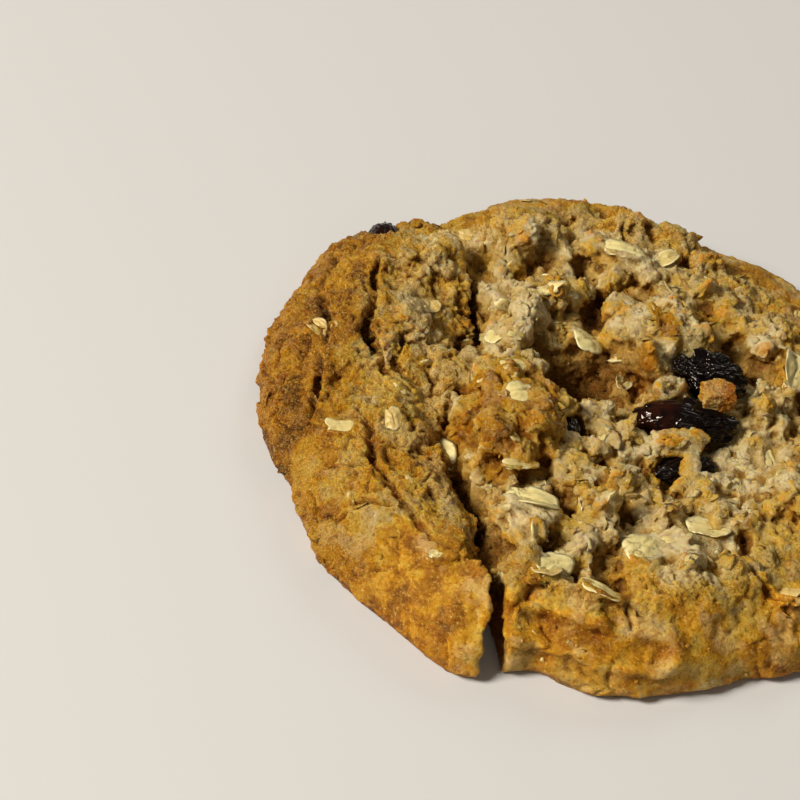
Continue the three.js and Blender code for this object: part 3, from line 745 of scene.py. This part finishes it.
def grain_mesh(name, seed):
    """One crumb of radius 1: eight sides cut once more, pushed out of round."""
    form = bmesh.new()
    corners = [form.verts.new(spot) for spot in
               ((1, 0, 0), (0, 1, 0), (-1, 0, 0), (0, -1, 0), (0, 0, 1), (0, 0, -1))]
    for side in range(4):
        after = (side + 1) % 4
        form.faces.new((corners[side], corners[after], corners[4]))
        form.faces.new((corners[after], corners[side], corners[5]))
    bmesh.ops.subdivide_edges(form, edges=form.edges, cuts=1, use_grid_fill=True)
    bmesh.ops.triangulate(form, faces=form.faces)
    form.verts.index_update()
    for vert in form.verts:
        push = 0.75 + 0.5 * draw(vert.index, seed)
        vert.co = vert.co.normalized() * push
        vert.co.z *= 0.8
    bmesh.ops.recalc_face_normals(form, faces=form.faces)
    return new_mesh(name, form)


def make_strewn(name, dough, meshes, sizes, skin, on_crust, clear, clear_span):
    """Strews small shapes over the dough, thickly where it is torn, and clear of other pieces."""
    shapes = [new_piece(mesh.name, mesh) for mesh in meshes]
    tree, start = geometry_tree(name, sizes)
    seed = start["Seed"]
    z = tree.axes(form_place(tree))[2]
    upward = tree.axes(tree.normal())[2]
    thick = tree.carried("torn") * (1 - on_crust) + on_crust
    thick = thick * z.step(0.8, 2.0) * clear_of(tree, clear, *clear_span) * upward.step(-0.2, 0.3)
    spacing = start["Spacing"] * MM
    points = tree.strewn(start["Geometry"], spacing, 1.4 / (spacing * spacing), thick, seed)
    reach = tree.combined(start["Tilt"], start["Tilt"], 3.1)
    tip = tree.turned(tree.vector("MULTIPLY", tree.chances(seed + 7.0, 1.0), reach))
    facing = tree.node("FunctionNodeRotateRotation", {"rotation_space": "LOCAL"},
                       {"Rotation": points["Rotation"], "Rotate By": tip})["Rotation"]
    chance = tree.chance(seed + 11.0)
    size = (start["Smallest"] + (start["Largest"] - start["Smallest"]) * chance * chance) * MM
    lowered = tree.moved(points["Points"], tree.scaled(points["Normal"], start["Sink"] * MM))
    kinds = tree.kinds([tree.shown(shape) for shape in shapes])
    lying = tree.standing(lowered, kinds, facing, size)
    close_tree(tree, tree.keep(lying, "tint", tree.chance(seed + 23.0, 0.5), "INSTANCE"), skin)
    strewn = run_tree(new_piece(name, dough.data.copy()), tree, sizes)
    discard(shapes)
    return strewn


# Finishes
CREAM = (0.59, 0.48, 0.26)
BEIGE = (0.435, 0.315, 0.118)
TAN = (0.53, 0.38, 0.165)
STRAW = (0.53, 0.335, 0.046)
GOLD = (0.49, 0.24, 0.006)
RUST = (0.31, 0.118, 0.003)
BURNT = (0.14, 0.043, 0.002)
DOUGH_STOPS = [(0.0, CREAM), (0.18, BEIGE), (0.36, STRAW), (0.54, GOLD), (0.8, RUST), (1.0, BURNT)]
CRUMB_STOPS = [(0.0, (0.5, 0.245, 0.025)), (0.35, (0.45, 0.15, 0.007)), (0.7, (0.36, 0.088, 0.003)),
               (1.0, RUST)]
CRUST_MEAL = (0.54, 0.34, 0.055)
TOASTED_TIP = (0.56, 0.25, 0.02)
# paler meal on the bump's raised grains, which also paints light on them
PALE_MEAL_AND_GRAIN_LIGHT = (0.74, 0.52, 0.14)
LIGHT_SPECK = (0.78, 0.58, 0.2)

# Tints that darken the colour under them: darker cells and specks, and painted shade in pits and crevices
DIM = "MULTIPLY"
DARK_CELL = (0.62, 0.4, 0.14)
# painted shade in the bump's low grains
PAINTED_GRAIN_SHADE = (0.56, 0.36, 0.08)
DARK_SPECK = (0.5, 0.34, 0.1)
# painted shade in sunken pits
PAINTED_PIT_SHADE = (0.52, 0.27, 0.03)
# painted shade where the sky is hidden, and deeper painted shade in crevices
PAINTED_SHADE = (0.82, 0.62, 0.18)
PAINTED_DEEP_SHADE = (0.4, 0.2, 0.02)
SOFT_DOUGH = 1.8             # how far light spreads in a body of dough, and in a loose bit of it
SOFT_BIT = 0.08
SKIN_CELLS = 2.6

OAT_PALE = (0.76, 0.65, 0.28)
OAT_DULL = (0.55, 0.42, 0.16)
OAT_CLOUD = (0.55, 0.42, 0.13)
OAT_FIBRE = (0.46, 0.34, 0.1)
OAT_EDGE = (0.84, 0.74, 0.4)
OAT_BROWNED = (0.46, 0.26, 0.05)

RAISIN_BLACK = (0.003, 0.0015, 0.0015)
RAISIN_WARM = (0.012, 0.003, 0.002)
RAISIN_BROWN = (0.02, 0.004, 0.002)
# painted shade in the hollows between a raisin's raised folds
RAISIN_HOLLOW_SHADE = (0.35, 0.25, 0.22)


def dough_skin(name, stops, soft):
    """Baked oat dough: pale and mealy where torn, golden to rust where it met the heat."""
    skin, tree = material(name)
    place = tree.on_piece()
    baked, pit, hill, torn, hidden, clump, calm = tree.attributes(
        "baked", "pit", "hill", "torn", "covered", "clump", "calm")
    patches = tree.grain(place, 0.14, 3.0, 0.6)
    spots = tree.grain(place, 0.5, 3.0, 0.65)
    toast = baked + (patches - 0.5) * (1.0 - 0.25 * torn) + (spots - 0.5) * 0.6 + (clump - 0.5) * 0.4
    toast = toast + 0.14 * torn + hill.step(0.2, 1.1) * patches.step(0.46, 0.6) * 0.35
    ramp = tree.node("ShaderNodeValToRGB", {"stops": stops}, {"Fac": toast})["Color"]
    tan = tree.grain(place, 0.22, 2.0, 0.6).step(0.5, 0.62)
    meal = tree.mix(torn, CRUST_MEAL, CREAM)
    mealy = tree.grain(place, 0.9, 3.0, 0.65).step(0.54, 0.72)
    kind, gloss, _ = tree.axes(tree.cells(place, SKIN_CELLS)["Color"])
    tips = hill.step(0.25, 0.9) * tree.grain(place, 0.3).step(0.54, 0.62)
    fine = tree.grain(place, 2.4, 4.0, 0.74)
    speck = tree.grain(place, 5.5, 2.0, 0.6)
    colour = tree.layered(ramp, [
        (tan * (0.55 - 0.35 * torn) * baked.step(0.7, 0.6), TAN),
        (mealy * (0.2 + 0.3 * torn), meal),
        (kind.step(0.65, 1.0) * 0.25, meal),
        (kind.step(0.4, 0.0) * (0.35 - 0.15 * torn), DARK_CELL, DIM),
        (tips * 0.75, TOASTED_TIP),
        # painted shade in sunken pits
        (pit.step(-0.2, -1.2) * 0.5, PAINTED_PIT_SHADE, DIM),
        # painted shade where the sky is hidden, and deeper painted shade in crevices
        (hidden.step(0.2, 0.6) * 0.8, PAINTED_SHADE, DIM),
        (hidden.step(0.4, 0.85) * 0.8, PAINTED_DEEP_SHADE, DIM),
        # painted shade in the bump's low grains, and paler meal that also paints light on its raised grains
        (fine.step(0.45, 0.36) * (0.85 - 0.6 * torn), PAINTED_GRAIN_SHADE, DIM),
        (fine.step(0.57, 0.64) * (0.5 - 0.4 * torn), PALE_MEAL_AND_GRAIN_LIGHT),
        (speck.step(0.46, 0.36) * (0.7 - 0.6 * torn) * (1 - calm), DARK_SPECK, DIM),
        (speck.step(0.56, 0.66) * (0.45 - 0.4 * torn) * (1 - calm), LIGHT_SPECK)])
    height = fine * 0.8 + tree.blocks(place, SKIN_CELLS, 0.2, 0.1, 0.5) * 0.8
    height = height * (1 - 0.85 * calm) * (1 - 0.3 * torn) * (1 + 1.5 * baked.step(0.3, 0.5))
    shiny = gloss.step(0.45, 0.6) * 0.3 + gloss.step(0.78, 0.84) * 0.14
    tree.finish({"Base Color": colour, "Roughness": 0.56 - shiny * (1 - calm) + 0.1 * calm,
                 "Normal": tree.bump(height, 0.9, 0.6), "Specular IOR Level": 0.45,
                 "Specular Tint": (1.0, 0.78, 0.36, 1.0), "Subsurface Weight": 0.7,
                 "Subsurface Radius": (0.9, 0.5, 0.14), "Subsurface Scale": soft * MM})
    return skin


def oat_skin():
    """Rolled oat: cream with long fibres and a pale edge, here and there with dough on it."""
    skin, tree = material("rolled oat")
    place = tree.on_piece()
    tint, edge, fibre, baked = tree.attributes("tint", "edge", "fibre", "baked")
    cloudy = tree.grain(place, 0.8, 3.0, 0.6)
    streak = fibre.maths("SINE", fibre * 34.0 + cloudy * 3.0) * 0.5 + 0.5
    smear = tree.grain(place, 0.45, 4.0, 0.7).step(0.54, 0.64)
    colour = tree.layered(tree.mix(tint, OAT_PALE, OAT_DULL), [
        (cloudy.step(0.4, 0.7) * 0.5, OAT_CLOUD),
        (streak * 0.1, OAT_FIBRE),
        (edge.step(0.65, 1.0) * 0.6, OAT_EDGE),
        (baked.step(0.1, 0.6) * 0.55, OAT_BROWNED),
        (smear * 0.85, tree.mix(baked.step(0.1, 0.5), BEIGE, STRAW))])
    height = streak * 0.1 + tree.grain(place, 3.0, 3.0, 0.65) * (0.3 + smear)
    tree.finish({"Base Color": colour, "Roughness": 0.38, "Normal": tree.bump(height, 0.7, 0.3),
                 "Specular Tint": (1.0, 0.9, 0.7, 1.0), "Subsurface Weight": 0.3,
                 "Subsurface Radius": (1.0, 0.75, 0.35), "Subsurface Scale": 0.25 * MM})
    return skin


def raisin_skin(name, warm, warm_side):
    """Dried grape skin: near black, warm where light comes through a thin end, glossy on its folds."""
    skin, tree = material(name)
    place = tree.on_piece()
    fold, = tree.attributes("fold")
    bloom = tree.grain(place, 0.55, 3.0, 0.6)
    thin = tree.axes(place)[0].step(*warm_side) * bloom.step(0.25, 0.6)
    # painted shade in the hollows between the raised folds
    colour = tree.layered(tree.mix(thin, RAISIN_BLACK, warm), [(fold.step(0.5, 0.0) * 0.6, RAISIN_HOLLOW_SHADE, DIM)])
    tree.finish({"Base Color": colour, "Roughness": 0.04 + bloom * 0.06,
                 "Normal": tree.bump(tree.grain(place, 1.5, 3.0, 0.6), 0.12, 0.3),
                 "Specular IOR Level": 0.3, "Specular Tint": (1.0, 0.9, 0.78, 1.0)})
    return skin


# The large oats, as they lie in the solid: x, y, length, width, heading, pitch and roll in degrees
PLACED_OATS = [
    (-2.7, 26.3, 7.4, 5.2, 5, 0, -12),
    (-3, 8.5, 6.5, 5.4, 60, -25, 10),
    (-14.5, 3.2, 5.4, 3.8, 65, 20, -25),
    (-15.6, -18, 6.5, 4, -55, 0, 70),
    (-2.5, -24.6, 9, 5.4, 8, 0, -20),
    (2.6, -33.6, 7, 4.8, 50, -8, 18),
    (9.4, -34.6, 7.6, 5, 0, -10, -30),
    (12.4, -25, 8, 5.6, 75, -10, 0),
    (20, -17, 7.6, 5, 20, 0, -15),
    (25, 0, 6, 4.4, 120, 15, 25),
    (24.6, 14.6, 8.2, 5.2, 100, 8, 25),
    (-29.5, -21.5, 5.4, 4, 30, 0, 0),
    (-9, -10, 5.6, 4.4, 30, 0, 10),
    (-11.5, -37, 3.6, 3, 30, 0, 0),
]
LOOSE_OATS = 16
OAT_SHAPES = 6


def loose_oats():
    """Oats that lie by rule, over the top and down to the start of the rim's roll."""
    oats = []
    for i in range(LOOSE_OATS):
        reach = RADIUS * 0.9 * sqrt((i + 0.5) / LOOSE_OATS)
        angle = i * GOLDEN_ANGLE + 1.1
        oats.append((reach * cos(angle), reach * sin(angle),
                     8 * (0.65 + 0.35 * draw(i, 51)), 5.4 * (0.7 + 0.3 * draw(i, 52)),
                     360 * draw(i, 53), 40 * (draw(i, 54) - 0.5), 40 * (draw(i, 55) - 0.5)))
    return oats


def flake_mesh(name, seed, rings, sides, width, tear):
    """One rolled oat of length 1: an oval with a crease, a crown and a curl, thin at its ragged edge."""
    rows = []
    for ring in range(rings + 1):
        share = ring / rings
        row = []
        for side in range(sides if ring else 1):
            angle = 2 * pi * side / sides
            ragged = 0.08 * sin(2 * angle + 3 * seed) + 0.07 * sin(3 * angle + 1.7 * seed)
            ragged += 0.05 * sin(5 * angle + seed) + 0.03 * sin(8 * angle + 2.3 * seed)
            for nick in range(2):
                away = remainder(angle - 6.3 * draw(nick, seed), 2 * pi)
                ragged -= 0.3 * share ** 6 * exp(-(away / 0.2) ** 2)
            x = 0.5 * share * (1 + tear * ragged) * cos(angle)
            y = 0.5 * share * (1 + tear * ragged) * sin(angle) * width
            row.append((x, y, share))
        rows.append(row)

    def lift(x, y, share, upper):
        crown = 0.03 * (1 - share * share)
        crease = 0.035 * exp(-((y - 0.03 * sin(5 * x + seed)) / 0.05) ** 2) * (1 - share ** 4)
        curl = 0.3 * sin(seed) * x * x + 0.55 * cos(1.7 * seed) * y * y
        curl += 0.3 * sin(2.9 * seed) * x * y
        wave = 0.05 * noise.noise(Vector((3 * x, 3 * y, seed)))
        wave += 0.02 * noise.noise(Vector((8 * x, 8 * y, seed)))
        body = 0.035 * (1 - 0.9 * share ** 2)
        return curl + wave + (crown - crease + body if upper else -body)

    form = bmesh.new()
    edge_layer = form.verts.layers.float.new("edge")
    fibre_layer = form.verts.layers.float.new("fibre")

    def vert(x, y, share, upper):
        made = form.verts.new((x, y, lift(x, y, share, upper)))
        made[edge_layer] = share
        made[fibre_layer] = y + 0.03 * sin(6 * x + seed)
        return made

    tops = [[vert(*spot, True) for spot in row] for row in rows]
    unders = [[vert(*spot, False) for spot in row] for row in rows[:-1]] + [tops[-1]]
    for layer, flip in ((tops, False), (unders, True)):
        for ring in range(rings):
            for side in range(sides):
                after = (side + 1) % sides
                inner, outer = layer[ring], layer[ring + 1]
                corners = [outer[side], outer[after]]
                corners += [inner[0]] if ring == 0 else [inner[after], inner[side]]
                form.faces.new(corners[::-1] if flip else corners)
    return new_mesh(name, form)


def spots_mesh(name, spots):
    """Bare points that carry the turn, size, shape and tint of what will stand on them."""
    mesh = bpy.data.meshes.new(name)
    mesh.from_pydata([spot["place"] for spot in spots], [], [])
    for key, kind in (("turn", "FLOAT_VECTOR"), ("size", "FLOAT_VECTOR"), ("shape", "INT"), ("tint", "FLOAT"),
                      ("baked", "FLOAT")):
        layer = mesh.attributes.new(key, kind, "POINT")
        part = "vector" if kind == "FLOAT_VECTOR" else "value"
        for item, spot in zip(layer.data, spots):
            setattr(item, part, spot[key])
    return mesh


def oat_tree(shapes, skin):
    """Stands one of several shapes on each point of a mesh, turned and sized as the point says."""
    tree, start = geometry_tree("large oats", {})
    kinds = tree.kinds([tree.shown(shape) for shape in shapes])
    standing = tree.standing(start["Geometry"], kinds, tree.turned(tree.carried("turn", "FLOAT_VECTOR")),
                             tree.carried("size", "FLOAT_VECTOR"), tree.carried("shape", "INT"))
    return close_tree(tree, standing, skin)


def ground(piece, x, y):
    """The height of a piece's top at a place, in metres."""
    hit, spot, _, _ = piece.ray_cast(Vector((x, y, 0.05)), Vector((0, 0, -1)))
    return spot.z if hit else 0.0


def make_oats(skin):
    meshes = [flake_mesh("oat_shape_%d" % i, 1.3 + 2.17 * i, 8, 36, 1.0, 0.6) for i in range(OAT_SHAPES)]
    shapes = [new_piece(mesh.name, mesh) for mesh in meshes]
    spots = []
    for i, (x, y, long, wide, heading, pitch, roll) in enumerate(PLACED_OATS + loose_oats()):
        place = ((x + MIDDLE[0]) * MM, (y + MIDDLE[1]) * MM)
        height = ground(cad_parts["cookie"], *place)
        turn = Euler((radians(roll), radians(-pitch), radians(heading)), "XYZ")
        loose = i >= len(PLACED_OATS)
        fit = 0.62 if loose else 0.86 if long > 6.4 else 0.76
        crusted = x < -17 or (loose and hypot(x, y) > 31)
        spots.append({"place": (*place, height - (0.4 if loose else 0.35) * MM), "turn": tuple(turn),
                      "size": (long * fit * MM, wide * fit * MM, 0.5 * (long + wide) * MM),
                      "shape": i % OAT_SHAPES, "tint": draw(i, 71) * 0.4 + (0.6 if loose else 0.0),
                      "baked": (0.25 + (0.2 if loose else 0.0)) if crusted else 0.0})
    oats = run_tree(new_piece("oats", spots_mesh("oats", spots)), oat_tree(shapes, skin), {})
    discard(shapes)
    return oats


# Raisins: place, half-sizes, heading and lean as in the solid, depth of the folds at each end, and taper
RAISINS = {
    "raisin_wrinkled": ((13.9, 9.3, 11.8), (5.9, 4.3, 3.4), 15, 12, (0.34, 0.34), 0.4),
    "raisin_long": ((12.8, 0.1, 10.8), (7.6, 3.4, 3.0), 14, -4, (0.08, 0.28), 0.1),
    "raisin_tucked": ((14.8, -7.2, 9.6), (4.8, 2.3, 2.0), 37, 0, (0.2, 0.2), 0.2),
    "raisin_under_clump": ((-1.6, -7.8, 9.6), (3.6, 2.0, 2.0), 110, 8, (0.2, 0.2), 0.1),
    "raisin_left_rim": ((-34.0, 19.0, 6.3), (3.8, 2.6, 2.2), 120, 10, (0.12, 0.12), 0.2),
    "raisin_right": ((32.4, 9.4, 10.2), (5.4, 3.7, 3.0), 70, -10, (0.3, 0.25), 0.2),
}
RAISIN_CUTS = 6


def raisin_tree(skin, sizes):
    """A shrunken grape: a ball whose skin is drawn in along winding folds."""
    tree, start = geometry_tree("raisin", sizes)
    here = tree.position()
    spot = tree.vector("ADD", tree.vector("MULTIPLY", here, (0.8, 1.15, 1.15)), tree.combined(start["Seed"]))
    winding = tree.vector("ADD", spot, tree.scaled(tree.grain(spot, 1.3, 1.0, out="Color"), 1.1))
    broad, narrow = tree.creases(winding, 1.2).step(0.4, 0.0), tree.creases(winding, 2.7).step(0.35, 0.0)
    fold = broad * 0.65 + narrow * 0.35
    crumpled = tree.blocks(winding, 1.9, 0.0, 0.3, 1.4) + tree.blocks(winding, 4.0, 0.0, 0.15, 0.7)
    x = tree.axes(here)[0]
    depth = start["First fold"] + (start["Last fold"] - start["First fold"]) * x.step(-0.3, 0.35)
    drawn = 1 - depth * (1 - fold * 0.7 - crumpled * 0.8)
    slim = 1 - start["Taper"] * x.step(0.1, -1.0)
    lean = tree.vector("MULTIPLY", here, tree.combined(1.0, slim, slim))
    half = tree.combined(start["Half length"], start["Half width"], start["Half height"])
    kept = tree.keep(tree.ball(RAISIN_CUTS), "fold", fold)
    place = tree.vector("MULTIPLY", tree.scaled(lean, drawn), half)
    return close_tree(tree, tree.moved(kept, place, "Position"), skin)


def make_raisins(skins):
    made = []
    for index, (name, (place, half, heading, lean, folds, taper)) in enumerate(RAISINS.items()):
        sizes = {"Half length": half[0] * MM, "Half width": half[1] * MM, "Half height": half[2] * MM,
                 "First fold": folds[0], "Last fold": folds[1], "Taper": taper, "Seed": 3.7 * index + 1.9}
        raisin = new_piece(name + "_skin", bpy.data.meshes.new(name))
        run_tree(raisin, raisin_tree(skins.get(name, skins["raisin"]), sizes), sizes)
        turn = Matrix.Rotation(radians(heading), 4, "Z") @ Matrix.Rotation(radians(lean), 4, "Y")
        spot = Vector((place[0] + MIDDLE[0], place[1] + MIDDLE[1], place[2])) * MM
        raisin.data.transform(Matrix.Translation(spot) @ turn)
        made.append((raisin, name))
    return made


# Stage, in metres and degrees
VIEW_HEIGHT = 44.0
VIEW_TIP = -19.6
VIEW_DISTANCE = 0.45
VIEW_SHIFT = (-0.0247, 0.0027)
VIEW_LENS = 150.5
FLOOR_CORNERS = [(-2, -2, 0), (2, -2, 0), (2, 2, 0), (-2, 2, 0)]
FLOOR_PALE = (0.63, 0.62, 0.60)
FLOOR_SHADE = (0.58, 0.57, 0.55)
LIT_PLACE = Vector((0, 0, 0.008))
LIGHTS = {"key": ((-0.82, -0.56, 0.82), 0.4, 23.7, (1.0, 0.95, 0.88)),
          "front": ((0.2, -0.5, 0.35), 0.3, 0.22, (1.0, 0.96, 0.9)),
          "back": ((0.1, 0.45, 0.4), 0.25, 0.5, (1, 1, 1))}
STUDIO = {"Color": (1.0, 0.9, 0.75, 1.0), "Strength": 0.1}


def camera():
    """The photograph's view, tipped so that the cookie's left side is the higher."""
    target = Vector((MIDDLE[0], MIDDLE[1], 5.0)) * MM
    height, tip = radians(VIEW_HEIGHT), radians(VIEW_TIP)
    back = Vector((0, -cos(height), sin(height)))
    above = Vector((0, sin(height), cos(height)))
    right = Vector((1, 0, 0)) * cos(tip) - above * sin(tip)
    up = Vector((1, 0, 0)) * sin(tip) + above * cos(tip)
    place = target + back * VIEW_DISTANCE
    look = (target + right * VIEW_SHIFT[0] + up * VIEW_SHIFT[1] - place).normalized()
    side = (right - look * right.dot(look)).normalized()
    data = bpy.data.cameras.new("view")
    data.sensor_width = 36.0
    data.lens = VIEW_LENS
    data.clip_start = 0.01
    eye = new_piece("view", data)
    eye.matrix_world = Matrix((side, side.cross(look), -look)).transposed().to_4x4()
    eye.location = place
    bpy.context.scene.camera = eye


def stage():
    floor_mesh = bpy.data.meshes.new("floor")
    floor_mesh.from_pydata(FLOOR_CORNERS, [], [(0, 1, 2, 3)])
    floor = new_piece("floor", floor_mesh)
    paint, tree = material("pale floor")
    shade = tree.grain(tree.node("ShaderNodeTexCoord")["Object"], 6.0)
    tree.finish({"Base Color": tree.mix(shade * 0.15, FLOOR_PALE, FLOOR_SHADE), "Roughness": 0.75})
    floor_mesh.materials.append(paint)
    for name, (place, size, power, colour) in LIGHTS.items():
        data = bpy.data.lights.new(name, "AREA")
        data.shape = "DISK"
        data.size = size
        data.energy = power
        data.color = colour
        lamp = new_piece(name, data)
        lamp.location = place
        lamp.rotation_euler = (LIT_PLACE - Vector(place)).to_track_quat("-Z", "Y").to_euler()
    world = bpy.data.worlds.new("studio")
    world.use_nodes = True
    for key, value in STUDIO.items():
        world.node_tree.nodes["Background"].inputs[key].default_value = value
    bpy.context.scene.world = world
    bpy.context.scene.view_settings.view_transform = "Standard"
    bpy.context.scene.view_settings.look = "None"


camera()
stage()
dough_finish = dough_skin("baked oat dough", DOUGH_STOPS, SOFT_DOUGH)
loose_finish = dough_skin("loose dough", DOUGH_STOPS, SOFT_BIT)
oat_finish = oat_skin()
oats = make_oats(oat_finish)
raisins = make_raisins({"raisin": raisin_skin("raisin", RAISIN_WARM, (10.0, -10.0)),
                        "raisin_long": raisin_skin("raisin with a brown end", RAISIN_BROWN, (13.0, 9.0))})
raisin_pieces = [piece for piece, node in raisins]
set_in = [oats] + raisin_pieces
dough = make_dough(dough_finish, oats, raisin_pieces)
bit_shapes = [flake_mesh("oat_bit_%d" % i, 0.7 + 1.9 * i, 2, 12, 0.6, 1.7) for i in range(5)]
oat_bits = make_strewn("oat_bits", dough, bit_shapes, OAT_BITS, oat_finish, 0.3, set_in, (0.6, 1.2))
flake_shapes = [flake_mesh("dough_flake_%d" % i, 0.4 + 1.7 * i, 2, 9, 0.7, 1.5) for i in range(5)]
dough_flakes = make_strewn("dough_flakes", dough, flake_shapes, DOUGH_FLAKES, loose_finish, 0.15, set_in,
                           (0.6, 1.2))
crumb_shapes = [grain_mesh("crumb_%d" % i, CRUMB_SEED + i) for i in range(4)]
crumbs = make_strewn("crumbs", dough, crumb_shapes, CRUMBS, loose_finish, 0.08, set_in, (0.3, 0.6))
toasted_crumb = make_toasted_crumb(dough_skin("toasted crumb", CRUMB_STOPS, SOFT_DOUGH))
for piece in (dough, oats, oat_bits, dough_flakes, crumbs, toasted_crumb):
    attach(piece, "root")
    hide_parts("cookie")
for piece, node in raisins:
    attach(piece, "root")
    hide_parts(node)
